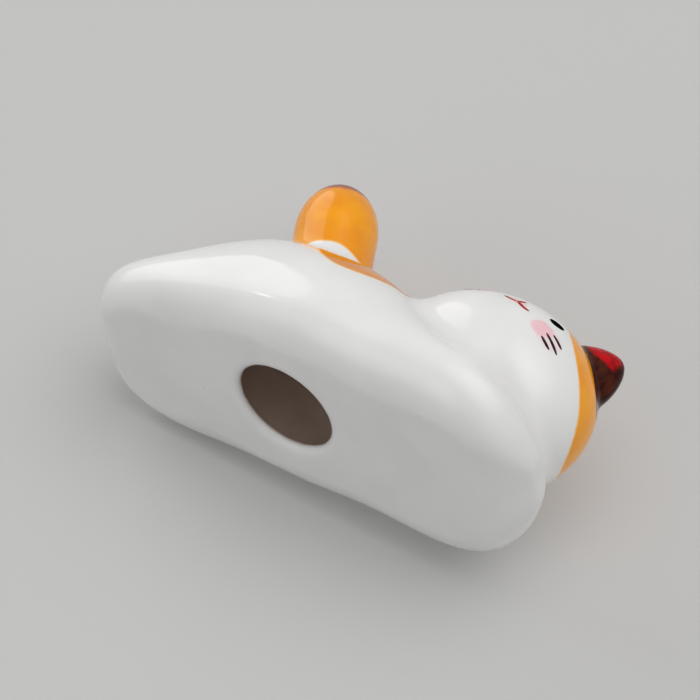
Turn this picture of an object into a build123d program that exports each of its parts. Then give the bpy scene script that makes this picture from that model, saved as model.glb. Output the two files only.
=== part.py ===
from build123d import *

import os
from math import cos, hypot, radians, sin
from typing import NamedTuple

# A ceramic chopstick rest: a cat that lies along X on its flat underside, z = 0.
# The head is at +X and looks to -Y, and the chopsticks lie along Y between tail and head.

# Body, a hollow cast loaf
body_length = 58.0
body_width = 30.8
body_height = 21.1
wall = 2.0
floor_thickness = 1.2
rear_round = 4.1
front_round = 9.4
flat_share = 0.5
foot_trim = 0.25

# Where the body lies about the origin, which is the middle of the whole rest
rear_x = -29.2
front_x = rear_x + body_length
middle_y = -1.9

# Vent hole in the underside, and air hole under the head
vent_diameter = 13.4
vent_along = 26.2
vent_shift = 0.9
vent_rim = 0.6
air_hole_diameter = 10.0

# Head, a hollow cast shell
head_width = 27.2
head_depth = 23.2
head_overhang = 0.4
head_lift = 1.0
head_shift = 2.4
head_roll = 8.0

# Ears, solid
ear_width = 8.4
ear_thickness = 6.0
ear_height = 4.1
ear_root = 3.0
ear_spread = 39.0
ear_splay = 30.0
ear_setback = 5.0

# Tail, a solid stub that leans to the rear and a little to the face's side
tail_diameter = 10.1
tail_root_diameter = 9.7
tail_length = 11.1
tail_dome = 7.0
tail_root = 6.0
tail_along = 19.5
tail_shift = -0.9
tail_lean = 24.5
tail_tilt = 4.9


class Station(NamedTuple):
    # Shares of the body's length, width and height
    along: float
    width: float
    height: float
    widest: float
    shift: float


rear_end = Station(along=0.0, width=0.69, height=0.47, widest=0.175, shift=0.053)
stations = [
    Station(along=0.070, width=0.71, height=0.50, widest=0.17, shift=0.053),
    Station(along=0.148, width=0.82, height=0.69, widest=0.16, shift=0.052),
    Station(along=0.303, width=0.92, height=0.95, widest=0.20, shift=0.033),
    Station(along=0.459, width=1.00, height=0.94, widest=0.21, shift=0.033),
    Station(along=0.614, width=0.99, height=0.805, widest=0.23, shift=0.052),
    Station(along=0.769, width=1.00, height=0.59, widest=0.24, shift=0.091),
    Station(along=0.838, width=0.96, height=0.515, widest=0.24, shift=0.089),
]
front_end = Station(along=1.0, width=0.80, height=0.40, widest=0.22, shift=0.060)

# The station that the head rests on
chest = stations[-2]

# Angles at which the round ends are drawn, and how square each end is
end_angles = (15, 45)
rear_power = 0.72
front_power = 1.0

# Ear profile: share of the height, share of the width
ear_profile = [(0.0, 1.0), (0.40, 0.80), (0.72, 0.54), (0.92, 0.28), (1.0, 0.10)]


def body_section(x, shape, size, inset):
    # One section across X: a flat, two round lower corners and a domed back
    centre = middle_y + shape.shift * body_width
    widest = shape.widest * body_height
    low = floor_thickness if inset else -foot_trim
    half_width = (shape.width * body_width / 2 - inset) * size
    rise = (shape.height * body_height - inset - widest) * size
    drop = (widest - low) * size
    flat = half_width * flat_share
    corner = half_width - flat
    with BuildSketch(Plane.YZ.offset(x)) as section:
        with BuildLine():
            Line((centre - flat, widest - drop), (centre + flat, widest - drop))
            EllipticalCenterArc((centre + flat, widest), corner, drop, 270)
            EllipticalCenterArc((centre, widest), half_width, rise, 0)
            EllipticalCenterArc((centre, widest), half_width, rise, 90)
            EllipticalCenterArc((centre - flat, widest), corner, drop, 180)
        make_face()
    return section.sketch


def between(end, full, share):
    return Station(*(a + (b - a) * share for a, b in zip(end, full)))


def end_sections(x, direction, length, power, end, full, inset):
    # A round end, from its tip inwards
    sections = []
    for angle in end_angles:
        step = length * (1 - cos(radians(angle)) ** power)
        size = sin(radians(angle)) ** power
        shape = between(end, full, step / length)
        sections.append(body_section(x + direction * step, shape, size, inset))
    return sections


def body_sections(inset):
    # The whole loaf from its front tip to its rear tip
    rear_length = rear_round - inset
    front_length = front_round - inset
    rear = end_sections(rear_x + inset, 1, rear_length, rear_power, rear_end, stations[0], inset)
    middle = [body_section(rear_x + shape.along * body_length, shape, 1, inset) for shape in stations]
    front = end_sections(front_x - inset, -1, front_length, front_power, front_end, stations[-1], inset)
    return front + middle[::-1] + rear[::-1]


# Outer form of the body, which the other pieces are cut to
with BuildPart() as body_form:
    loft(body_sections(0))
    split(bisect_by=Plane.XY, keep=Keep.TOP)

with BuildPart() as cavity:
    loft(body_sections(wall))

head_x = front_x + head_overhang - head_width / 2
head_centre = Vector(head_x, middle_y + head_shift, chest.height * body_height + head_lift)


def head_profile(inset):
    # Half an ellipse beside the head's long axis
    half_width = head_width / 2 - inset
    half_depth = head_depth / 2 - inset
    with BuildSketch(Plane(head_centre, x_dir=(1, 0, 0), z_dir=(0, -1, 0))) as profile:
        with BuildLine():
            EllipticalCenterArc((0, 0), half_width, half_depth, 0, arc_size=180)
            Line((-half_width, 0), (half_width, 0))
        make_face()
    return profile.sketch


# Outer form of the head, which the ears are cut to
with BuildPart() as head_form:
    revolve(head_profile(0), axis=Axis(head_centre, (1, 0, 0)))

with BuildPart() as head_hollow:
    revolve(head_profile(wall), axis=Axis(head_centre, (1, 0, 0)))

# Body: hollow, with the vent hole below and the air hole into the head
with BuildPart() as body:
    add(body_form.part)
    add(cavity.part, mode=Mode.SUBTRACT)
    with Locations((rear_x + vent_along, middle_y + vent_shift, 0)):
        Cylinder(vent_diameter / 2, 4 * floor_thickness, mode=Mode.SUBTRACT)
    rim = body.edges().filter_by(GeomType.CIRCLE).group_by(Axis.Z)[0]
    fillet(rim, min(vent_rim, floor_thickness / 2))
    with Locations(head_centre):
        Cylinder(air_hole_diameter / 2, 4 * (wall + head_lift), mode=Mode.SUBTRACT)

# Head: a shell whose rim sits on the body
with BuildPart() as head:
    add(head_form.part)
    add(head_hollow.part, mode=Mode.SUBTRACT)
    add(body_form.part, mode=Mode.SUBTRACT)


def ear_plane(side):
    # Stands on the head's surface, with its normal up the ear
    place = radians(head_roll + side * ear_spread)
    lean = radians(head_roll + side * ear_splay)
    back = radians(ear_setback)
    outward = Vector(sin(place) * cos(back), sin(back), cos(place) * cos(back))
    reach = 1 / hypot(outward.X / (head_width / 2), hypot(outward.Y, outward.Z) / (head_depth / 2))
    seat = head_centre + outward * reach
    return Plane(seat, x_dir=(cos(lean), 0, -sin(lean)), z_dir=(sin(lean), 0, cos(lean)))


def ear_sections(side):
    # Ellipses up the ear, the first one inside the head
    plane = ear_plane(side)
    sections = []
    rings = [(-ear_root, 1.0)]
    rings += [(rise * ear_height, share) for rise, share in ear_profile]
    for height, share in rings:
        with BuildSketch(plane.offset(height)) as section:
            Ellipse(ear_width / 2 * share, ear_thickness / 2 * share)
        sections.append(section.sketch)
    return sections


# Ears: leaf-like cones, cut to the head
with BuildPart() as ear_front:
    loft(ear_sections(1))
    add(head_form.part, mode=Mode.SUBTRACT)

with BuildPart() as ear_rear:
    loft(ear_sections(-1))
    add(head_form.part, mode=Mode.SUBTRACT)

# Tail: a round stub, cut to the back
tail_shoulder = tail_length - tail_dome
tail_seat = Vector(rear_x + tail_along, middle_y + tail_shift, body_height)
tail_axis = Vector(0, 0, 1).rotate(Axis.X, tail_tilt).rotate(Axis.Y, -tail_lean)
tail_side = tail_axis.cross(Vector(0, 1, 0)).normalized()

with BuildPart() as tail:
    with BuildSketch(Plane(tail_seat, x_dir=tail_axis, z_dir=tail_axis.cross(tail_side))):
        with BuildLine():
            Polyline((tail_length, 0), (-tail_root, 0), (-tail_root, tail_root_diameter / 2))
            Line((-tail_root, tail_root_diameter / 2), (tail_shoulder, tail_diameter / 2))
            EllipticalCenterArc((tail_shoulder, 0), tail_dome, tail_diameter / 2, 0)
        make_face()
    revolve(axis=Axis(tail_seat, tail_axis))
    add(body_form.part, mode=Mode.SUBTRACT)

pieces = {"body": body, "head": head, "ear_front": ear_front, "ear_rear": ear_rear, "tail": tail}

os.makedirs("parts", exist_ok=True)
for name, piece in pieces.items():
    piece.part.label = name
    export_step(piece.part, f"parts/{name}.step")
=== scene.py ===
import math

import bmesh
import bpy
import numpy as np
import openvdb
from mathutils import Matrix, Vector


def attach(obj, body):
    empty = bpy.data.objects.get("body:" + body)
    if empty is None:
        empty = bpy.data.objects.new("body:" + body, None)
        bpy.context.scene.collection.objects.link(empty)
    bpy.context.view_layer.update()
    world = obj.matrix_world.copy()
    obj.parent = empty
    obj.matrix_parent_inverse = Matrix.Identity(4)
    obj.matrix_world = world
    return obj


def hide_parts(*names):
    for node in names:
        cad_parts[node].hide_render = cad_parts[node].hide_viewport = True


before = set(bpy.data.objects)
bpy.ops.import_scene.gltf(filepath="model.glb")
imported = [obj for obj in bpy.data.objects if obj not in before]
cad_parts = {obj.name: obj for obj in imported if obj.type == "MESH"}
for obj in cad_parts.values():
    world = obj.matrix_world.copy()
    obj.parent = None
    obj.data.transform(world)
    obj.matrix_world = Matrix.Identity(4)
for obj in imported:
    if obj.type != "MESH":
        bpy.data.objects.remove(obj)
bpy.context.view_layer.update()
print("frame: nodes", sorted(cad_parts))

mm = 0.001
tiny = 1e-6     # keeps a division away from zero


def unit(v):
    v = np.asarray(v, float)
    return v / np.linalg.norm(v)


def show(name, data):
    # A new object in the scene
    made = bpy.data.objects.new(name, data)
    bpy.context.scene.collection.objects.link(made)
    return made


# Camera, at the photograph's angle
shot = {
    "place": (179.752, -282.881, -199.889),  # mm, in the part's frame
    "right": (0.83354, 0.13281, 0.53626),
    "up": (-0.31091, -0.68961, 0.65404),
    "back": (0.45668, -0.7119, -0.53353),
    "lens": 175.879,
    "sensor": 36.0,
    "clip": (0.01, 20.0),   # metres
}


def makeCamera(s):
    data = bpy.data.cameras.new("photoCamera")
    data.lens = s["lens"]
    data.sensor_width = s["sensor"]
    data.clip_start, data.clip_end = s["clip"]
    camera = show("photoCamera", data)
    turned = Matrix((s["right"], s["up"], s["back"])).transposed()
    camera.matrix_world = Matrix.Translation(Vector(s["place"]) * mm) @ turned.to_4x4()
    bpy.context.scene.camera = camera


makeCamera(shot)
print("camera set")

# Cast skin: the solids' own distance fields, run together where the clay was luted
skin = {
    "voxel": 0.36,      # mm, grain of the mesh
    "band": 17,         # voxels of distance kept each side
    "margin": 8,        # voxels round the whole rest
    "hullStep": 3,      # every third point is enough for the head's outside
    "soften": 1,        # passes that round edges as glaze does
    "settle": 3,        # passes that bring the mesh onto the surface
    "hollowSoften": 4,    # passes that even out the hollows' bend, which the white glaze's painted shade reads
    "neckBlend": 2.4,   # mm, how far the head's root runs into the body
    "neckSoft": 3.4,    # mm more under the cheek
    "neckSoftAt": (19.8, 3.4),  # mm, where along X and how far
    "earBlend": 0.8,    # mm
    "tailBlend": 1.6,
}
pieceNames = ["body", "head", "ear_front", "ear_rear", "tail"]


def solidMesh(node):
    mesh = node.data
    points = np.zeros(len(mesh.vertices) * 3, np.float32)
    mesh.vertices.foreach_get("co", points)
    points = np.round(points.reshape(-1, 3) / mm, 4)
    mesh.calc_loop_triangles()
    corners = np.zeros(len(mesh.loop_triangles) * 3, np.int32)
    mesh.loop_triangles.foreach_get("vertices", corners)
    welded, index = np.unique(points, axis=0, return_inverse=True)
    triangles = index.reshape(-1)[corners].reshape(-1, 3)
    return welded, triangles


def hullMesh(points, step):
    # The head without its hollow, which nothing looks into
    shell = bmesh.new()
    for p in points[::step]:
        shell.verts.new(p)
    bmesh.ops.convex_hull(shell, input=shell.verts)
    loose = [v for v in shell.verts if not v.link_faces]
    bmesh.ops.delete(shell, geom=loose, context="VERTS")
    bmesh.ops.triangulate(shell, faces=shell.faces)
    shell.verts.index_update()
    hullPoints = np.array([v.co for v in shell.verts])
    triangles = np.array([[v.index for v in f.verts] for f in shell.faces])
    shell.free()
    return hullPoints, triangles


def distanceField(points, triangles, s, low, shape):
    grid = openvdb.FloatGrid.createLevelSetFromPolygons(
        points.astype(np.float32),
        triangles=triangles.astype(np.uint32),
        transform=openvdb.createLinearTransform(voxelSize=s["voxel"]),
        halfWidth=float(s["band"]))
    field = np.zeros(shape, np.float32)
    grid.copyToArray(field, ijk=tuple(int(i) for i in low))
    return field


def softUnion(a, b, width):
    # Two distance fields joined by a fillet
    near = np.maximum(width - np.abs(a - b), 0) / width
    return np.minimum(a, b) - near * near * width / 4


def soften(field, passes):
    for _ in range(passes):
        for axis in range(3):
            before = np.roll(field, 1, axis)
            after = np.roll(field, -1, axis)
            field = 0.25 * before + 0.5 * field + 0.25 * after
    return field


def sample(field, places):
    # Trilinear reading at places in voxels
    base = np.clip(np.floor(places).astype(int), 0, np.array(field.shape) - 2)
    part = places - base
    value = 0
    for corner in np.ndindex(2, 2, 2):
        weight = np.prod(np.where(corner, part, 1 - part), axis=1)
        i, j, k = (base + corner).T
        value = value + weight * field[i, j, k]
    return value


def steepest(slope, places):
    return np.stack([sample(axis, places) for axis in slope], axis=1)


def settle(field, slope, places, passes):
    # Moves the mesh's points onto the surface
    for _ in range(passes):
        g = steepest(slope, places)
        step = sample(field, places) / np.maximum((g * g).sum(1), tiny)
        places = places - step[:, None] * g
    return places


def alongAxes(low, shape, s):
    # The voxels' places in mm, as three arrays that spread over each other
    return np.ix_(*[(low[i] + np.arange(shape[i])) * s["voxel"] for i in range(3)])


def edgeTable(quads):
    # Each edge of each quad, and the pairs of quads that share one
    edges = np.concatenate([quads[:, [i, (i + 1) % 4]] for i in range(4)])
    owner = np.tile(np.arange(len(quads)), 4)
    key = np.sort(edges, axis=1)
    order = np.lexsort((key[:, 1], key[:, 0]))
    same = (key[order][1:] == key[order][:-1]).all(1)
    return owner[order][:-1][same], owner[order][1:][same]


def patches(quads, label):
    # Numbers each connected run of quads with one label
    left, right = edgeTable(quads)
    joined = label[left] == label[right]
    a, b = left[joined], right[joined]
    group = np.arange(len(quads))
    while True:
        lowest = np.minimum(group[a], group[b])
        new = group.copy()
        np.minimum.at(new, a, lowest)
        np.minimum.at(new, b, lowest)
        new = new[new]
        if (new == group).all():
            return group
        group = new


# Vent hole: a rounded lip of glaze, and bare clay past it
vent = {
    "axis": (-3.0, -1.0),
    "radius": 6.7,
    "floor": 1.2,       # mm, the clay's thickness there
    "throat": 6.1,      # mm, what the rounded lip of glaze leaves open
    "lip": 1.3,
    "above": 1.0,       # mm over the floor that the lip still shapes
    "wallBand": (0.45, 0.95),   # mm up, a belt that parts outside from inside
    "wallSpare": 1.0,   # mm round the hole
    "glazedTo": 0.7,    # mm up from the underside
    "bareFrom": 1.15,
}


def roundVent(whole, x, y, z, s):
    # A collar that narrows the hole, with its lip rounded off
    span = np.hypot(x - s["axis"][0], y - s["axis"][1])
    half = s["floor"] / 2
    ring = np.abs(span - s["radius"]) - s["radius"] + s["throat"]
    collar = np.maximum(np.abs(z - half) - half, ring)
    lip = -softUnion(z, span - s["throat"], s["lip"])
    lipped = np.maximum(np.minimum(whole, collar), lip)
    return np.where(z < s["floor"] + s["above"], lipped, whole)


def bareClay(cast, label, s):
    # 1 on the clay inside the vent, 0 on the glazed outside
    middles = cast["points"][cast["quads"]].mean(1)
    span = np.linalg.norm(middles[:, :2] - np.array(s["axis"]), axis=1)
    bottom, top = s["wallBand"]
    belt = (middles[:, 2] > bottom) & (middles[:, 2] < top)
    wall = (span < s["radius"] + s["wallSpare"]) & belt
    parts = np.where(label == 0, np.where(wall, 2, 1), 0)
    group = patches(cast["quads"], parts)
    outside = group[np.where(parts == 1, np.abs(middles[:, 1]), 0).argmax()]
    inner = np.unique(cast["quads"][(parts == 2) | (parts == 1) & (group != outside)])
    bare = np.zeros(len(cast["points"]))
    depth = (cast["points"][inner, 2] - s["glazedTo"]) / (s["bareFrom"] - s["glazedTo"])
    bare[inner] = np.clip(depth, 0, 1)
    return bare


def joinSolids(fields, x, s):
    # One field for the whole cat, with a fillet at each root
    bothEars = np.minimum(fields["ear_front"], fields["ear_rear"])
    headAndEars = softUnion(fields["head"], bothEars, s["earBlend"])
    bodyAndTail = softUnion(fields["body"], fields["tail"], s["tailBlend"])
    middle, run = s["neckSoftAt"]
    neck = s["neckBlend"] + s["neckSoft"] * np.exp(-((x - middle) / run) ** 2)
    return softUnion(bodyAndTail, headAndEars, neck)


def makeSkin(s, hole):
    solids = {name: solidMesh(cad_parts[name]) for name in pieceNames}
    everything = np.concatenate([points for points, _ in solids.values()])
    low = np.floor(everything.min(0) / s["voxel"]).astype(int) - s["margin"]
    high = np.ceil(everything.max(0) / s["voxel"]).astype(int) + s["margin"]
    shape = tuple(high - low + 1)
    solids["head"] = hullMesh(solids["head"][0], s["hullStep"])
    fields = {name: distanceField(*solids[name], s, low, shape) for name in pieceNames}
    x, y, z = alongAxes(low, shape, s)
    whole = roundVent(joinSolids(fields, x, s), x, y, z, hole)
    whole = soften(whole, s["soften"]).astype(np.float32)
    grid = openvdb.FloatGrid(float(s["band"] * s["voxel"]))
    grid.copyFromArray(whole)
    places, quads = grid.convertToQuads(isovalue=0.0)
    slope = np.gradient(whole)
    places = settle(whole, slope, places.astype(float), s["settle"])
    g = steepest(slope, places)
    normals = g / np.linalg.norm(g, axis=1)[:, None]
    bend = sum(np.gradient(slope[i], axis=i) for i in range(3))
    corners = places[quads]
    facing = np.cross(corners[:, 2] - corners[:, 0], corners[:, 3] - corners[:, 1])
    if (facing * normals[quads[:, 0]]).sum() < 0:
        quads = quads[:, ::-1]
    return {
        "points": (places + low) * s["voxel"],
        "normals": normals,
        "quads": quads.astype(int),
        "reach": {name: sample(fields[name], places) for name in pieceNames},
        "bend": sample(soften(bend, s["hollowSoften"]), places) / s["voxel"],
    }


# How the skin is shared out between the pieces
shares = {
    "rootTaken": {"ear_front": 0.8, "ear_rear": 0.8},   # mm of the head's round, as painted root
    "passes": 6,        # that smooth the borders
    "votes": 3,         # of a quad's four neighbours win it over
}


def shareOut(cast, s):
    # Gives each quad to the solid that it lies nearest to, in one patch for each
    quads = cast["quads"]
    reach = [cast["reach"][name][quads].mean(1) - s["rootTaken"].get(name, 0) for name in pieceNames]
    label = np.stack(reach).argmin(0)
    left, right = edgeTable(quads)
    for _ in range(s["passes"]):
        votes = np.zeros((len(pieceNames), len(quads)), int)
        np.add.at(votes, (label[left], right), 1)
        np.add.at(votes, (label[right], left), 1)
        label = np.where(votes.max(0) >= s["votes"], votes.argmax(0), label)
    group = patches(quads, label)
    for number in range(1, len(pieceNames)):
        own = np.flatnonzero(label == number)
        names, counts = np.unique(group[own], return_counts=True)
        label[own[group[own] != names[counts.argmax()]]] = 0
    return label


def closeLoops(faces, points, normals):
    # Fans a hidden lid over each open edge
    edges = {}
    for face in faces:
        edges.update(dict.fromkeys(zip(face, face[1:] + face[:1])))
    ahead = {}
    for a, b in edges:
        if (b, a) not in edges:
            ahead.setdefault(b, []).append(a)
    lids = []
    while ahead:
        start = next(iter(ahead))
        loop = [start]
        while True:
            follow = ahead[loop[-1]].pop()
            if not ahead[loop[-1]]:
                del ahead[loop[-1]]
            if follow == start:
                break
            loop.append(follow)
        hub = len(points)
        points.append(np.mean([points[i] for i in loop], axis=0))
        normals.append(np.mean([normals[i] for i in loop], axis=0))
        lids += [[a, b, hub] for a, b in zip(loop, loop[1:] + loop[:1])]
    return faces + lids


def addAttribute(mesh, name, values):
    kind, field = ("FLOAT_VECTOR", "vector") if values.ndim > 1 else ("FLOAT", "value")
    layer = mesh.attributes.new(name, kind, "POINT")
    layer.data.foreach_set(field, np.asarray(values, np.float32).ravel())


def pieceMesh(cast, label, number, guides):
    quads = cast["quads"][label == number]
    used, index = np.unique(quads, return_inverse=True)
    points = list(cast["points"][used])
    normals = list(cast["normals"][used])
    faces = closeLoops(index.reshape(-1, 4).tolist(), points, normals)
    hubs = len(points) - len(used)
    mesh = bpy.data.meshes.new(pieceNames[number] + "_skin")
    mesh.from_pydata([tuple(p * mm) for p in points], [], faces)
    mesh.shade_smooth()
    for name, values in guides.items():
        own = values[used]
        onHubs = np.repeat(own.mean(0, keepdims=True), hubs, 0)
        addAttribute(mesh, name, np.concatenate([own, onHubs]))
    facing = [tuple(n / max(np.linalg.norm(n), tiny)) for n in normals]
    mesh.normals_split_custom_set_from_vertices(facing)
    mesh.validate()
    return mesh


# Face frame on the head: paint is laid out in mm along and up the round of the head
face = {
    "centre": (15.6, 0.5, 13.449),
    "radii": (13.6, 11.6, 11.6),
    "right": (0.941, -0.074, -0.329),
    "up": (0.306, 0.599, 0.740),
    "ahead": (0.143, -0.797, 0.586),
    "round": 12.0,      # mm that one radian counts for
}


def faceCoordinates(points):
    e = points - np.array(face["centre"])
    e = e / np.linalg.norm(e, axis=1)[:, None]
    side = np.arctan2(e @ unit(face["right"]), e @ unit(face["ahead"]))
    rise = np.arcsin(np.clip(e @ unit(face["up"]), -1, 1))
    return np.stack([np.abs(side), rise, np.zeros(len(e))], axis=1) * face["round"]


# Ears: where each one stands on the head, for the paint on it
ears = {
    "ear_front": {"place": 47.0, "lean": 38.0, "outer": 1},     # degrees round the head's Y axis
    "ear_rear": {"place": -31.0, "lean": -22.0, "outer": -1},
    "setback": 5.0,
    "halfWidth": 4.2,   # mm
    "halfThickness": 3.0,
    "height": 4.1,
}


def earCoordinates(points, s, name):
    # To the ear's outer side, towards the face, and up the ear, each as a share
    ear = s[name]
    place, lean, back = (math.radians(a) for a in (ear["place"], ear["lean"], s["setback"]))
    level = math.cos(back)
    out = np.array([math.sin(place) * level, math.sin(back), math.cos(place) * level])
    reach = 1 / np.linalg.norm(out / np.array(face["radii"]))
    seat = np.array(face["centre"]) + out * reach
    across = np.array([math.cos(lean), 0, -math.sin(lean)]) * ear["outer"]
    up = np.array([math.sin(lean), 0, math.cos(lean)])
    away = points - seat
    outward = away @ across / s["halfWidth"]
    forward = -away[:, 1] / s["halfThickness"]
    return np.stack([outward, forward, away @ up / s["height"]], 1)


def paintGuides(cast, label):
    # What the glazes read at each point of the skin
    points, reach = cast["points"], cast["reach"]
    nearFront = reach["ear_front"] < reach["ear_rear"]
    onFront, onRear = (earCoordinates(points, ears, name) for name in ("ear_front", "ear_rear"))
    return {
        "facePaint": faceCoordinates(points),
        "earGuide": np.where(nearFront[:, None], onFront, onRear),
        "earEdge": reach["head"] - np.minimum(reach["ear_front"], reach["ear_rear"]),
        "neckEdge": reach["head"] - reach["body"],
        # How hollow the skin is, which sets the white glaze's painted shade
        "hollowBend": cast["bend"],
        "bareClay": bareClay(cast, label, vent),
    }


cast = makeSkin(skin, vent)
label = shareOut(cast, shares)
print("skin:", len(cast["quads"]), "quads")
guides = paintGuides(cast, label)
pieces = {}
for number, name in enumerate(pieceNames):
    made = pieceMesh(cast, label, number, guides)
    pieces[name] = show(name + "_glazed", made)
    print("piece", name, len(made.polygons), "faces")


# Small helpers for the node trees
def feed(tree, socket, value):
    if isinstance(value, bpy.types.NodeSocket):
        tree.links.new(value, socket)
    else:
        socket.default_value = value


def calc(tree, operation, *values):
    node = tree.nodes.new("ShaderNodeMath")
    node.operation = operation
    for socket, value in zip(node.inputs, values):
        feed(tree, socket, value)
    return node.outputs[0]


def plus(tree, a, b):
    return calc(tree, "ADD", a, b)


def minus(tree, a, b):
    return calc(tree, "SUBTRACT", a, b)


def times(tree, a, b):
    return calc(tree, "MULTIPLY", a, b)


def squared(tree, a):
    return calc(tree, "MULTIPLY", a, a)


def lower(tree, a, b):
    return calc(tree, "MINIMUM", a, b)


def higher(tree, a, b):
    return calc(tree, "MAXIMUM", a, b)


def vectorCalc(tree, operation, *values):
    node = tree.nodes.new("ShaderNodeVectorMath")
    node.operation = operation
    for socket, value in zip(node.inputs, values):
        feed(tree, socket, value)
    single = operation in ("DOT_PRODUCT", "LENGTH", "DISTANCE")
    return node.outputs["Value" if single else "Vector"]


def fade(tree, value, start, end):
    # 0 at start and 1 at end, with a soft run between
    node = tree.nodes.new("ShaderNodeMapRange")
    node.interpolation_type = "SMOOTHSTEP"
    feed(tree, node.inputs["Value"], value)
    feed(tree, node.inputs["From Min"], start)
    feed(tree, node.inputs["From Max"], end)
    return node.outputs["Result"]


def spread(tree, value, low, high):
    # Takes 0 to 1 onto low to high
    node = tree.nodes.new("ShaderNodeMapRange")
    feed(tree, node.inputs["Value"], value)
    node.inputs["To Min"].default_value = low
    node.inputs["To Max"].default_value = high
    return node.outputs["Result"]


def mixColour(tree, share, under, over):
    node = tree.nodes.new("ShaderNodeMix")
    node.data_type = "RGBA"
    for number, value in ((0, share), (6, under), (7, over)):   # the sockets for colours
        feed(tree, node.inputs[number], value)
    return node.outputs[2]


def mixShader(tree, share, first, second, output):
    node = tree.nodes.new("ShaderNodeMixShader")
    for socket, value in zip(node.inputs, (share, first, second)):
        tree.links.new(value, socket)
    tree.links.new(node.outputs[0], tree.nodes[output].inputs["Surface"])


def grain(tree, place, n):
    # Noise per mm, longer along the axes that stretch makes smaller
    mapping = tree.nodes.new("ShaderNodeMapping")
    mapping.inputs["Scale"].default_value = n.get("stretch", (1, 1, 1))
    tree.links.new(place, mapping.inputs["Vector"])
    node = tree.nodes.new("ShaderNodeTexNoise")
    node.inputs["Scale"].default_value = n["scale"]
    node.inputs["Detail"].default_value = n["detail"]
    tree.links.new(mapping.outputs["Vector"], node.inputs["Vector"])
    return node.outputs["Fac"]


def mottle(tree, place, n):
    # Noise drawn out to soft blotches
    return fade(tree, grain(tree, place, n), *n["fade"])


def waver(tree, place, n):
    # Noise as the brush's unsteady edge, by so much to either side
    return spread(tree, grain(tree, place, n), -n["by"], n["by"])


def relief(tree, place, n):
    return times(tree, grain(tree, place, n), n["height"])


def guide(tree, name, output="Fac"):
    node = tree.nodes.new("ShaderNodeAttribute")
    node.attribute_name = name
    return node.outputs[output]


def axes(tree, vector):
    node = tree.nodes.new("ShaderNodeSeparateXYZ")
    tree.links.new(vector, node.inputs[0])
    return node.outputs


def placeInMm(tree):
    where = tree.nodes.new("ShaderNodeTexCoord")
    mapping = tree.nodes.new("ShaderNodeMapping")
    mapping.inputs["Scale"].default_value = (1 / mm,) * 3
    tree.links.new(where.outputs["Object"], mapping.inputs["Vector"])
    return mapping.outputs["Vector"]


def newMaterial(name):
    material = bpy.data.materials.new(name)
    material.use_nodes = True
    return material, material.node_tree


# White glaze: clear gloss over white clay, greyer in hollows and creases where the glaze pools,
# which is painted shade, with a few kiln specks
whiteGlaze = {
    "lit": (0.80, 0.795, 0.785, 1),
    "cloud": (0.77, 0.767, 0.758, 1),
    "clouds": {"scale": 0.11, "detail": 2.0, "fade": (0.38, 0.66)},
    # painted shade: the grey that hollows and creases darken to
    "poolShade": (0.70, 0.70, 0.70, 1),
    "poolShadeBend": (0.02, -0.35),      # how hollow the skin is, from none to full
    "poolShadeShare": 0.75,
    "speck": (0.42, 0.36, 0.28, 1),
    "speckCells": 0.42,             # per mm
    "speckFew": (0.95, 0.97),       # only the cells past this have one
    "speckSize": (0.075, 0.03),
    "speckShare": 0.3,
}


def whiteLayer(tree, place, s):
    colour = mixColour(tree, mottle(tree, place, s["clouds"]), s["lit"], s["cloud"])
    # Hollows and creases turn greyer: painted shade
    hollowShade = fade(tree, guide(tree, "hollowBend"), *s["poolShadeBend"])
    colour = mixColour(tree, times(tree, hollowShade, s["poolShadeShare"]), colour, s["poolShade"])
    cells = tree.nodes.new("ShaderNodeTexVoronoi")
    cells.inputs["Scale"].default_value = s["speckCells"]
    tree.links.new(place, cells.inputs["Vector"])
    few = fade(tree, axes(tree, cells.outputs["Color"])[0], *s["speckFew"])
    dot = fade(tree, cells.outputs["Distance"], *s["speckSize"])
    specks = times(tree, times(tree, few, dot), s["speckShare"])
    return mixColour(tree, specks, colour, s["speck"])


# Bare clay inside the vent
clay = {
    "pale": (0.85, 0.71, 0.62, 1),
    "dark": (0.79, 0.65, 0.56, 1),
    "blotches": {"scale": 0.5, "detail": 4.0, "fade": (0.3, 0.7)},
}


def clayLayer(tree, place, colour, s):
    bare = mixColour(tree, mottle(tree, place, s["blotches"]), s["pale"], s["dark"])
    return mixColour(tree, guide(tree, "bareClay"), colour, bare)


# Orange: one brush load, thin and pale at its edge
orange = {
    "full": (0.84, 0.29, 0.001, 1),
    "light": (0.93, 0.37, 0.001, 1),
    "load": {"scale": 0.22, "detail": 2.0, "fade": (0.30, 0.70)},
    "edge": (0.93, 0.60, 0.22, 1),
    "edgeWidth": 0.34,      # mm
    "edgeShare": 0.8,
    "blur": 0.12,           # mm
}


def orangeLayer(tree, place, colour, inside, s):
    # inside is the depth into the painted area, in mm
    paint = mixColour(tree, mottle(tree, place, s["load"]), s["full"], s["light"])
    thin = fade(tree, inside, s["edgeWidth"], 0.0)
    paint = mixColour(tree, times(tree, thin, s["edgeShare"]), paint, s["edge"])
    cover = fade(tree, inside, -s["blur"], s["blur"])
    return mixColour(tree, cover, colour, paint), cover


# Patch on the back, between the tail and the head
patch = {
    "centre": (-0.75, -4.0, 20.0),
    "halfLength": 7.75,
    "round": 12.9,
    "depth": 10.0,          # mm that its middle counts for
    "waver": {"scale": 0.16, "detail": 2.0, "by": 0.3},
    "fromNeck": 0.9,
    "offClay": 50.0,        # mm, keeps it out of the vent
    "patchShade": (0.60, 0.165, 0.001, 1),    # darker orange, painted shade over the patch
    "patchShadeShare": 0.6,
    "patchShadeEdge": 0.5,        # mm
}


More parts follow.
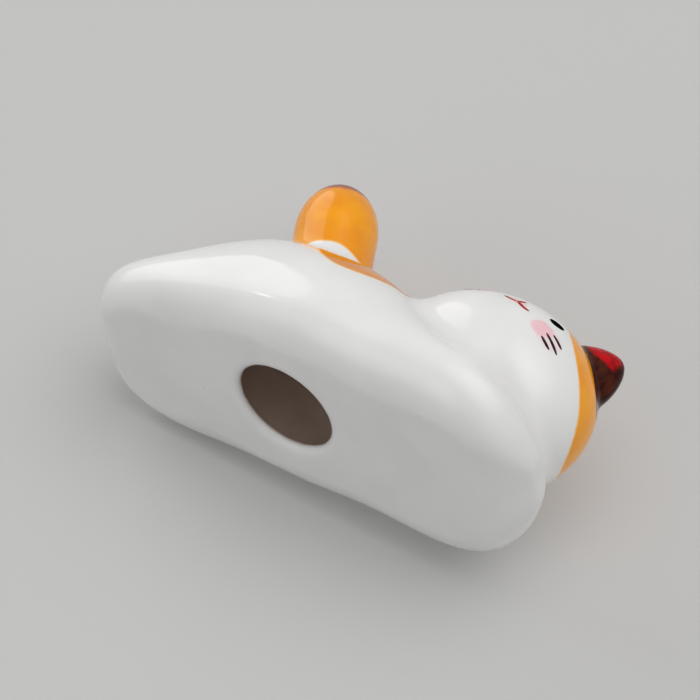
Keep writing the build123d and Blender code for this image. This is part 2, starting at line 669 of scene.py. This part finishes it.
def patchDepth(tree, place, s):
    away = vectorCalc(tree, "SUBTRACT", place, s["centre"])
    size = (1 / s["halfLength"], 1 / s["round"], 1 / s["round"])
    out = vectorCalc(tree, "LENGTH", vectorCalc(tree, "MULTIPLY", away, size))
    inside = times(tree, minus(tree, 1.0, out), s["depth"])
    inside = lower(tree, inside, minus(tree, guide(tree, "neckEdge"), s["fromNeck"]))
    inside = plus(tree, inside, waver(tree, place, s["waver"]))
    return minus(tree, inside, times(tree, guide(tree, "bareClay"), s["offClay"]))


# Tail: a white root, orange from a slanting line, and a dark tip
tail = {
    "seat": (-9.7, -2.8, 21.1),
    "axis": (-0.413, -0.085, 0.907),
    "side": (0.910, 0.0, 0.414),
    "rootLine": -0.80,      # mm along the axis
    "rootWaver": {"scale": 0.5, "detail": 2.0, "by": 0.15},
    "rootMiddle": 0.45,     # mm to the head's side, where the line is highest
    "rootFall": 0.12,       # how fast the line falls on the head's side
    "rearFrom": 1.0,        # mm behind the middle
    "rearFall": 0.30,       # and how fast it falls from there
    "rootWidth": 2.6,       # mm of white below the line
    "reach": 6.6,           # mm from the axis
    "rearReach": 5.7,       # where the orange ends at the rear
    "reachRun": (1.0, 4.0),     # mm to the head's side, from one reach to the other
    "meetRun": (3.0, 5.0),      # where the tail's orange runs into the patch
    "meet": 1.0,            # mm that they overlap there
    "tipLine": 8.4,
    "tipRagged": {"scale": 0.7, "detail": 3.0, "stretch": (1, 1, 0.3), "by": 0.5},
    "tips": [               # colour, and where it starts and is full, mm past the line
        ((0.50, 0.10, 0.004, 1), -0.6, 0.3),
        ((0.16, 0.024, 0.006, 1), 0.0, 0.9),
    ],
}


def tailPlace(tree, place, s):
    # Along the tail, towards the head's side, and out from the axis
    away = vectorCalc(tree, "SUBTRACT", place, s["seat"])
    axis = tuple(unit(s["axis"]))
    height = vectorCalc(tree, "DOT_PRODUCT", away, axis)
    side = vectorCalc(tree, "DOT_PRODUCT", away, tuple(unit(s["side"])))
    out = vectorCalc(tree, "LENGTH", vectorCalc(tree, "CROSS_PRODUCT", away, axis))
    return height, minus(tree, side, s["rootMiddle"]), out


def rootLine(tree, place, side, s):
    # How high the white root ends, falling to both sides
    ahead = higher(tree, side, 0.0)
    behind = lower(tree, plus(tree, side, s["rearFrom"]), 0.0)
    fall = plus(tree, times(tree, squared(tree, ahead), s["rootFall"]),
                times(tree, squared(tree, behind), s["rearFall"]))
    return minus(tree, plus(tree, waver(tree, place, s["rootWaver"]), s["rootLine"]), fall)


def backLayer(tree, place, colour, s):
    # Patch and tail are one orange, parted by the white root
    height, side, out = tailPlace(tree, place, s)
    line = rootLine(tree, place, side, s)
    meeting = fade(tree, side, *s["meetRun"])
    reach = spread(tree, fade(tree, side, *s["reachRun"]), s["rearReach"], s["reach"])
    reach = plus(tree, reach, times(tree, meeting, s["meet"]))
    onTail = lower(tree, minus(tree, height, line), minus(tree, reach, out))
    closed = times(tree, meeting, s["rootWidth"] + s["meet"])
    width = minus(tree, s["rootWidth"], closed)
    below = minus(tree, minus(tree, line, width), height)
    clear = higher(tree, below, minus(tree, out, s["reach"]))
    onBack = lower(tree, patchDepth(tree, place, patch), clear)
    colour, cover = orangeLayer(tree, place, colour, higher(tree, onTail, onBack), orange)
    # Away from the tail the patch turns a darker orange: painted shade
    alone = minus(tree, onBack, higher(tree, onTail, 0.0))
    second = times(tree, fade(tree, alone, 0.0, patch["patchShadeEdge"]), patch["patchShadeShare"])
    colour = mixColour(tree, second, colour, patch["patchShade"])
    ragged = plus(tree, height, waver(tree, place, s["tipRagged"]))
    for paint, start, end in s["tips"]:
        tip = fade(tree, ragged, s["tipLine"] + start, s["tipLine"] + end)
        colour = mixColour(tree, times(tree, cover, tip), colour, paint)
    return colour, cover


# Head: an orange cap with a white blaze, and dabs of pink at the cheeks and the mouth
cap = {
    "low": 1.5,         # mm up the face
    "blaze": 13.3,
    "blazeWidth": 3.6,
    "backFrom": 17.0,
    "backRise": 0.045,
    "waver": {"scale": 0.3, "detail": 2.0, "by": 0.3},
    "fromNeck": 0.9,
}
cheek = {
    "dabs": [           # place and half size in face coordinates, strength
        ((5.35, -0.40), (1.55, 1.55), 0.80),
        ((6.70, -0.30), (2.20, 1.70), 0.32),
    ],
    "colour": (0.87, 0.50, 0.55, 1),
    "fade": (1.1, 0.35),
}
bleed = {
    "dabs": [((0.0, 0.10), (1.4, 0.95), 0.5)],
    "colour": (0.86, 0.38, 0.28, 1),
    "fade": (1.2, 0.1),
}
dabShape = {
    "power": 2.6,       # 2 is an oval, more is squarer
    "ragged": {"scale": 0.9, "detail": 3.0, "by": 0.25},
}


def offNeck(tree, gap):
    # Depth into the head from a line that runs at a gap along the neck
    return minus(tree, times(tree, guide(tree, "neckEdge"), -1.0), gap)


def capLayer(tree, place, colour, s):
    u, v, _ = axes(tree, guide(tree, "facePaint", "Vector"))
    blaze = calc(tree, "EXPONENT", calc(tree, "DIVIDE", u, -s["blazeWidth"]))
    past = higher(tree, minus(tree, u, s["backFrom"]), 0.0)
    back = times(tree, squared(tree, past), s["backRise"])
    line = plus(tree, plus(tree, times(tree, blaze, s["blaze"]), back), s["low"])
    inside = lower(tree, minus(tree, v, line), offNeck(tree, s["fromNeck"]))
    inside = plus(tree, inside, waver(tree, place, s["waver"]))
    return orangeLayer(tree, place, colour, inside, orange)


def dab(tree, place, middle, half, s):
    # A soft squarish dab on the face, 0 at its middle and 1 at its edge
    u, v, _ = axes(tree, guide(tree, "facePaint", "Vector"))
    total = 0.0
    for value, centre, size in zip((u, v), middle, half):
        away = calc(tree, "DIVIDE", minus(tree, value, centre), size)
        total = plus(tree, calc(tree, "POWER", calc(tree, "ABSOLUTE", away), s["power"]), total)
    return plus(tree, total, waver(tree, place, s["ragged"]))


def dabLayer(tree, place, colour, s):
    for middle, half, strength in s["dabs"]:
        soft = fade(tree, dab(tree, place, middle, half, dabShape), *s["fade"])
        colour = mixColour(tree, times(tree, soft, strength), colour, s["colour"])
    return colour


# Ears: brown all over, red inside
earPaint = {
    "brown": (0.030, 0.005, 0.003, 1),
    "brownLight": (0.075, 0.016, 0.007, 1),
    "brownLoad": {"scale": 1.3, "detail": 3.0, "stretch": (1, 1, 0.3), "fade": (0.35, 0.7)},
    "waver": {"scale": 0.6, "detail": 2.0, "by": 0.2},
    "root": -0.4,       # mm that the brown runs onto the head
    "outerRoot": 1.3,   # mm more on the outer side
    "fromNeck": 1.1,
    "blur": 0.08,       # mm
    "red": (0.52, 0.004, 0.010, 1),
    "redDark": (0.30, 0.004, 0.006, 1),
    "redLoad": {"scale": 1.1, "detail": 3.0, "fade": (0.35, 0.65)},
    "redWidth": 0.78,   # of the ear's half width at the root
    "redTaper": 0.62,   # what the width loses up to the tip
    "redSides": (-0.08, 0.12),
    "redFront": (0.12, 0.34),
    "redFoot": (0.10, 0.26),    # of the ear's height
    "redWaver": 0.3,
    "redSlant": 0.45,   # how far the red's lower edge climbs to the outer side
    "slantFrom": 0.2,
    "shine": 0.06,
}


def redShare(tree, across, front, up, uneven, s):
    # A leaf that narrows up the ear, on the side that looks ahead
    width = minus(tree, s["redWidth"], times(tree, up, s["redTaper"]))
    sides = fade(tree, minus(tree, width, calc(tree, "ABSOLUTE", across)), *s["redSides"])
    leaf = times(tree, sides, fade(tree, front, *s["redFront"]))
    slant = higher(tree, plus(tree, across, s["slantFrom"]), 0.0)
    rise = plus(tree, up, times(tree, uneven, s["redWaver"]))
    rise = minus(tree, rise, times(tree, slant, s["redSlant"]))
    return times(tree, leaf, fade(tree, rise, *s["redFoot"]))


def earLayer(tree, place, colour, s):
    across, front, up = axes(tree, guide(tree, "earGuide", "Vector"))
    uneven = waver(tree, place, s["waver"])
    further = times(tree, higher(tree, across, 0.0), s["outerRoot"])
    edge = plus(tree, plus(tree, guide(tree, "earEdge"), uneven), further)
    inside = lower(tree, minus(tree, edge, s["root"]), offNeck(tree, s["fromNeck"]))
    cover = fade(tree, inside, -s["blur"], s["blur"])
    brown = mixColour(tree, mottle(tree, place, s["brownLoad"]), s["brown"], s["brownLight"])
    red = mixColour(tree, mottle(tree, place, s["redLoad"]), s["red"], s["redDark"])
    paint = mixColour(tree, redShare(tree, across, front, up, uneven, s), brown, red)
    return mixColour(tree, cover, colour, paint), cover


# Gloss and relief, the same over white and paint
finish = {
    "shine": 0.45,
    "ior": 1.5,
    "rough": (0.04, 0.11),
    "roughGrain": {"scale": 0.7, "detail": 3.0},
    "paintRough": 0.04,     # more over paint
    "clayRough": 0.6,       # and on bare clay
    "ripple": {"scale": 0.28, "detail": 1.0, "height": 0.012},  # mm, the glaze's slow waves
    "peel": {"scale": 2.4, "detail": 2.0, "height": 0.0015},    # mm, its fine skin
    "grit": {"scale": 3.0, "detail": 4.0, "height": 0.06},      # mm, on bare clay
    "paintStep": 0.006,     # mm that the paint stands up
}


def finishGlaze(tree, place, colour, painted, s, shine):
    shader = tree.nodes["Principled BSDF"]
    tree.links.new(colour, shader.inputs["Base Color"])
    bare = guide(tree, "bareClay")
    rough = spread(tree, grain(tree, place, s["roughGrain"]), *s["rough"])
    rough = plus(tree, rough, times(tree, painted, s["paintRough"]))
    rough = plus(tree, rough, times(tree, bare, s["clayRough"]))
    tree.links.new(rough, shader.inputs["Roughness"])
    shader.inputs["IOR"].default_value = s["ior"]
    shader.inputs["Specular IOR Level"].default_value = shine
    glaze = plus(tree, relief(tree, place, s["ripple"]), relief(tree, place, s["peel"]))
    grit = times(tree, relief(tree, place, s["grit"]), bare)
    height = plus(tree, glaze, plus(tree, grit, times(tree, painted, s["paintStep"])))
    bump = tree.nodes.new("ShaderNodeBump")
    bump.inputs["Distance"].default_value = mm
    tree.links.new(height, bump.inputs["Height"])
    tree.links.new(bump.outputs["Normal"], shader.inputs["Normal"])


def bodyGlaze(name, shine):
    material, tree = newMaterial(name)
    place = placeInMm(tree)
    colour = whiteLayer(tree, place, whiteGlaze)
    colour, painted = backLayer(tree, place, colour, tail)
    colour = clayLayer(tree, place, colour, clay)
    finishGlaze(tree, place, colour, painted, finish, shine)
    return material


def headGlaze(name, shine):
    material, tree = newMaterial(name)
    place = placeInMm(tree)
    colour = whiteLayer(tree, place, whiteGlaze)
    colour = dabLayer(tree, place, colour, cheek)
    colour = dabLayer(tree, place, colour, bleed)
    colour, onCap = capLayer(tree, place, colour, cap)
    colour, onEar = earLayer(tree, place, colour, earPaint)
    finishGlaze(tree, place, colour, higher(tree, onCap, onEar), finish, shine)
    return material


dressing = {
    "body": (bodyGlaze("bodyGlaze", finish["shine"]), "white_glaze"),
    "head": (headGlaze("headGlaze", finish["shine"]), "white_glaze"),
    "ear_front": (headGlaze("earFrontGlaze", earPaint["shine"]), "brown_glaze"),
    "ear_rear": (headGlaze("earRearGlaze", earPaint["shine"]), "brown_glaze"),
    "tail": (bodyGlaze("tailGlaze", finish["shine"]), "orange_glaze"),
}
for name, (material, slotName) in dressing.items():
    pieces[name].data.materials.append(material)
    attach(pieces[name], "root")
    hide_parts(name)
print("glazes laid")

# Brush strokes of the face, in face coordinates: mm to its right and up
strokes = {
    "whiskers": {
        "lines": [
            [(6.39, -1.20), (7.40, -1.22), (8.33, -1.10)],
            [(5.99, -0.25), (7.53, -0.25), (9.02, -0.37)],
            [(6.30, 0.63), (7.35, 0.70), (8.35, 0.65)],
        ],
        "mirrored": True, "width": 0.42, "thickness": 0.035, "tip": 3.0, "paint": "ink",
    },
    "eyes": {
        "lines": [[(3.62, 2.18), (4.41, 2.90), (5.16, 3.62)]],
        "mirrored": True, "width": 1.7, "thickness": 0.05, "tip": 2.0, "paint": "eyeBlack",
    },
    "mouth": {
        "lines": [
            [(-2.11, -0.24), (-0.89, -0.62), (0.0, 0.05)],
            [(0.0, 0.05), (1.30, -0.62), (2.33, -0.20)],
            [(0.0, -0.10), (-0.10, 0.70), (0.12, 1.42)],
        ],
        "mirrored": False, "width": 0.54, "thickness": 0.03, "tip": 3.5, "paint": "mouthRed",
    },
}
strokePaints = {
    "ink": {
        "colour": (0.014, 0.007, 0.009, 1), "thin": (0.05, 0.025, 0.028, 1),
        "rough": (0.27, 0.38), "shine": 0.06,
    },
    "eyeBlack": {
        "colour": (0.003, 0.003, 0.003, 1), "thin": (0.006, 0.005, 0.005, 1),
        "rough": (0.32, 0.43), "shine": 0.0,
    },
    "mouthRed": {
        "colour": (0.34, 0.010, 0.010, 1), "thin": (0.48, 0.035, 0.020, 1),
        "rough": (0.22, 0.33), "shine": 0.06,
    },
}
brushMake = {
    "load": {"scale": 2.2, "detail": 3.0, "fade": (0.40, 0.72)},
    "roughGrain": {"scale": 1.5, "detail": 2.0},
    "order": 3,         # of the line through a stroke's points
    "smooth": 12,       # steps between two points of it
    "steps": 28,        # rings along a stroke
    "sides": 12,        # points of a ring
    "flat": 0.02,       # a ring's height before the thickness lifts it
    "point": 0.02,      # least width at the tips, as a share
    "weld": 2e-7,       # metres
}


def strokePaint(name, s, b):
    material, tree = newMaterial(name)
    place = placeInMm(tree)
    shader = tree.nodes["Principled BSDF"]
    colour = mixColour(tree, mottle(tree, place, b["load"]), s["colour"], s["thin"])
    tree.links.new(colour, shader.inputs["Base Color"])
    rough = spread(tree, grain(tree, place, b["roughGrain"]), *s["rough"])
    tree.links.new(rough, shader.inputs["Roughness"])
    shader.inputs["IOR"].default_value = finish["ior"]
    shader.inputs["Specular IOR Level"].default_value = s["shine"]
    return material


def onHead(u, v):
    right, up, ahead = (unit(face[k]) for k in ("right", "up", "ahead"))
    a, b = u / face["round"], v / face["round"]
    e = math.cos(b) * (math.cos(a) * ahead + math.sin(a) * right) + math.sin(b) * up
    return np.array(face["centre"]) + e / np.linalg.norm(e / np.array(face["radii"]))


def brushTree(b):
    # A stroke: a curve pressed onto the surface and given a flat, domed, tapered section
    tree = bpy.data.node_groups.new("brushStroke", "GeometryNodeTree")
    tree.interface.new_socket("Geometry", in_out="INPUT", socket_type="NodeSocketGeometry")
    kinds = {"Surface": "Object", "Width": "Float", "Thickness": "Float",
             "Tip": "Float", "Steps": "Int", "Paint": "Material"}
    sockets = {}
    for name, kind in kinds.items():
        socket = tree.interface.new_socket(name, in_out="INPUT", socket_type="NodeSocket" + kind)
        sockets[name] = socket.identifier
    tree.interface.new_socket("Geometry", in_out="OUTPUT", socket_type="NodeSocketGeometry")

    def add(kind, settings=None, output=0, **inputs):
        node = tree.nodes.new("GeometryNode" + kind)
        for key, value in (settings or {}).items():
            setattr(node, key, value)
        for key, value in inputs.items():
            feed(tree, node.inputs[key.replace("_", " ")], value)
        return node.outputs[output]

    def keep(geometry, name, value):
        return add("StoreNamedAttribute", {"data_type": "FLOAT", "domain": "POINT"},
                   Geometry=geometry, Name=name, Value=value)

    def kept(name):
        return add("InputNamedAttribute", {"data_type": "FLOAT"}, "Attribute", Name=name)

    given = tree.nodes.new("NodeGroupInput").outputs
    surface = add("ObjectInfo", {"transform_space": "RELATIVE"}, "Geometry", Object=given["Surface"])
    pressed = add("Proximity", {"target_element": "FACES"}, "Position", Geometry=surface)
    facing = add("SampleNearestSurface", {"data_type": "FLOAT_VECTOR"}, "Value",
                 Mesh=surface, Value=add("InputNormal", output="Normal"))
    # The line of the stroke, and its width along it
    line = add("ResampleCurve", {"mode": "COUNT"}, Curve=given["Geometry"], Count=given["Steps"])
    line = add("SetPosition", Geometry=line, Position=pressed)
    line = add("SetCurveNormal", {"mode": "FREE"}, Curve=line, Normal=facing)
    along = add("SplineParameter", output="Factor")
    fromMiddle = calc(tree, "ABSOLUTE", minus(tree, times(tree, along, 2.0), 1.0))
    lost = calc(tree, "POWER", fromMiddle, given["Tip"])
    taper = higher(tree, calc(tree, "SQRT", minus(tree, 1.0, lost)), b["point"])
    line = keep(line, "taper", taper)
    # Its section, flattened, with the height kept for later
    section = add("CurvePrimitiveCircle", None, "Curve", Resolution=b["sides"], Radius=1.0)
    section = keep(section, "rise", axes(tree, add("InputPosition"))["X"])
    section = add("Transform", Geometry=section, Scale=(b["flat"], 1, 1))
    half = times(tree, times(tree, given["Width"], 0.5), taper)
    tube = add("CurveToMesh", Curve=line, Profile_Curve=section, Scale=half, Fill_Caps=True)
    # Pressed on the surface again and lifted by its thickness
    lift = times(tree, times(tree, kept("rise"), kept("taper")), given["Thickness"])
    over = tree.nodes.new("ShaderNodeVectorMath")
    over.operation = "SCALE"
    tree.links.new(facing, over.inputs[0])
    tree.links.new(lift, over.inputs["Scale"])
    settled = vectorCalc(tree, "ADD", pressed, over.outputs["Vector"])
    tube = add("SetPosition", Geometry=tube, Position=settled)
    tube = add("MergeByDistance", Geometry=tube, Distance=b["weld"])
    tube = add("SetShadeSmooth", Geometry=tube)
    tube = add("RealizeInstances", Geometry=tube)
    tube = add("SetMaterial", Geometry=tube, Material=given["Paint"])
    tree.links.new(tube, tree.nodes.new("NodeGroupOutput").inputs["Geometry"])
    return tree, sockets


brush, brushSockets = brushTree(brushMake)


def makeStrokes(name, s, paint, b):
    curve = bpy.data.curves.new(name + "_line", "CURVE")
    curve.dimensions = "3D"
    for side in (1, -1) if s["mirrored"] else (1,):
        for line in s["lines"]:
            spline = curve.splines.new("NURBS")
            spline.points.add(len(line) - 1)
            for point, (u, v) in zip(spline.points, line):
                point.co = (*(onHead(side * u, v) * mm), 1)
            spline.order_u = b["order"]
            spline.use_endpoint_u = True
            spline.resolution_u = b["smooth"]
    drawn = show(name + "_line", curve)
    modifier = drawn.modifiers.new("brush", "NODES")
    modifier.node_group = brush
    values = {"Surface": pieces["head"], "Width": s["width"] * mm, "Thickness": s["thickness"] * mm,
              "Tip": s["tip"], "Steps": b["steps"], "Paint": paint}
    for key, value in values.items():
        modifier[brushSockets[key]] = value
    graph = bpy.context.evaluated_depsgraph_get()
    mesh = bpy.data.meshes.new_from_object(drawn.evaluated_get(graph))
    bpy.data.objects.remove(drawn)
    piece = show(name, mesh)
    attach(piece, "root")
    print("strokes", name, len(mesh.polygons), "faces", [m.name for m in mesh.materials])


for name, s in strokes.items():
    paint = strokePaint(s["paint"], strokePaints[s["paint"]], brushMake)
    makeStrokes(name, s, paint, brushMake)

# Floor under the side that the rest lies on in the photograph
floorPlan = {
    "normal": (0.168, -0.986, -0.0175),
    "half": 0.6,        # metres
    "colour": (0.54, 0.54, 0.535, 1),
    "rough": 0.9,
    "shine": 0.1,
}


def floorPaint(s):
    # Not seen from behind, and no screen to the lamp there
    material, tree = newMaterial("paleFloor")
    shader = tree.nodes["Principled BSDF"]
    shader.inputs["Base Color"].default_value = s["colour"]
    shader.inputs["Roughness"].default_value = s["rough"]
    shader.inputs["Specular IOR Level"].default_value = s["shine"]
    behind = tree.nodes.new("ShaderNodeNewGeometry").outputs["Backfacing"]
    shadow = tree.nodes.new("ShaderNodeLightPath").outputs["Is Shadow Ray"]
    clear = tree.nodes.new("ShaderNodeBsdfTransparent").outputs[0]
    mixShader(tree, higher(tree, behind, shadow), shader.outputs[0], clear, "Material Output")
    return material


def makeFloor(s):
    up = Vector(unit(s["normal"]))
    across = up.orthogonal().normalized()
    along = up.cross(across)
    drop = min(cast["points"] @ np.array(up)) * mm
    corners = [up * drop + across * (x * s["half"]) + along * (y * s["half"])
               for x, y in ((-1, -1), (1, -1), (1, 1), (-1, 1))]
    mesh = bpy.data.meshes.new("floor")
    mesh.from_pydata([tuple(c) for c in corners], [], [(0, 1, 2, 3)])
    mesh.materials.append(floorPaint(s))
    floor = show("floor", mesh)


makeFloor(floorPlan)
print("floor set")

# Soft studio light; from gives the camera's right, up and back
studio = {
    "world": (0.30, 0.30, 0.30, 1),
    "backdrop": (0.50, 0.50, 0.50, 1),
    "aim": (0, 0, 0.015),   # metres, like reach and size; power is in watts
    "lamps": {
        "softbox": {
            "from": (0.36, 0.52, 0.78), "reach": 0.80, "size": 1.70, "power": 16.0, "core": 0.05},
        "fill": {
            "from": (-0.72, -0.05, 0.70), "reach": 0.80, "size": 0.90, "power": 2.2, "core": 0.1},
        "window": {
            "from": (-0.60, 0.75, -0.27), "reach": 0.60, "size": 0.80, "power": 1.9, "core": 0.45},
        "spark": {
            "from": (-0.68, 0.66, 0.32), "reach": 0.55, "size": 0.07, "power": 0.08, "core": 0.3},
        "farSide": {
            "from": (0.3, -0.5, -0.8), "reach": 0.7, "size": 0.8, "power": 4.0, "core": 0.1},
    },
    "discMiddle": (0.5, 0.5, 0.0),
    "discEdge": 0.5,
}


def makeWorld(s):
    # One grey gives light, and the other is what the camera and reflections see
    world = bpy.data.worlds.new("studio")
    bpy.context.scene.world = world
    world.use_nodes = True
    tree = world.node_tree
    light = tree.nodes["Background"]
    light.inputs["Color"].default_value = s["world"]
    seen = tree.nodes.new("ShaderNodeBackground")
    seen.inputs["Color"].default_value = s["backdrop"]
    path = tree.nodes.new("ShaderNodeLightPath").outputs
    mirrored = higher(tree, path["Is Glossy Ray"], path["Is Transmission Ray"])
    shown = higher(tree, path["Is Camera Ray"], mirrored)
    mixShader(tree, shown, light.outputs[0], seen.outputs[0], "World Output")


def makeLamp(name, lamp, s):
    # A disc that is brightest at its core
    data = bpy.data.lights.new(name, "AREA")
    data.shape = "DISK"
    data.size = lamp["size"]
    data.energy = lamp["power"]
    data.use_nodes = True
    tree = data.node_tree
    across = tree.nodes.new("ShaderNodeNewGeometry").outputs["Parametric"]
    fromCore = vectorCalc(tree, "DISTANCE", across, s["discMiddle"])
    glow = fade(tree, fromCore, s["discEdge"], lamp["core"])
    tree.links.new(glow, tree.nodes["Emission"].inputs["Strength"])
    frameAxes = [Vector(shot[k]) for k in ("right", "up", "back")]
    away = sum((axis * k for axis, k in zip(frameAxes, lamp["from"])), Vector()).normalized()
    light = show(name, data)
    light.location = Vector(s["aim"]) + away * lamp["reach"]
    light.rotation_mode = "QUATERNION"
    light.rotation_quaternion = away.to_track_quat("Z", "Y")


makeWorld(studio)
for name, lamp in studio["lamps"].items():
    makeLamp(name, lamp, studio)
print("lights set")

bpy.context.scene.view_settings.view_transform = "Standard"
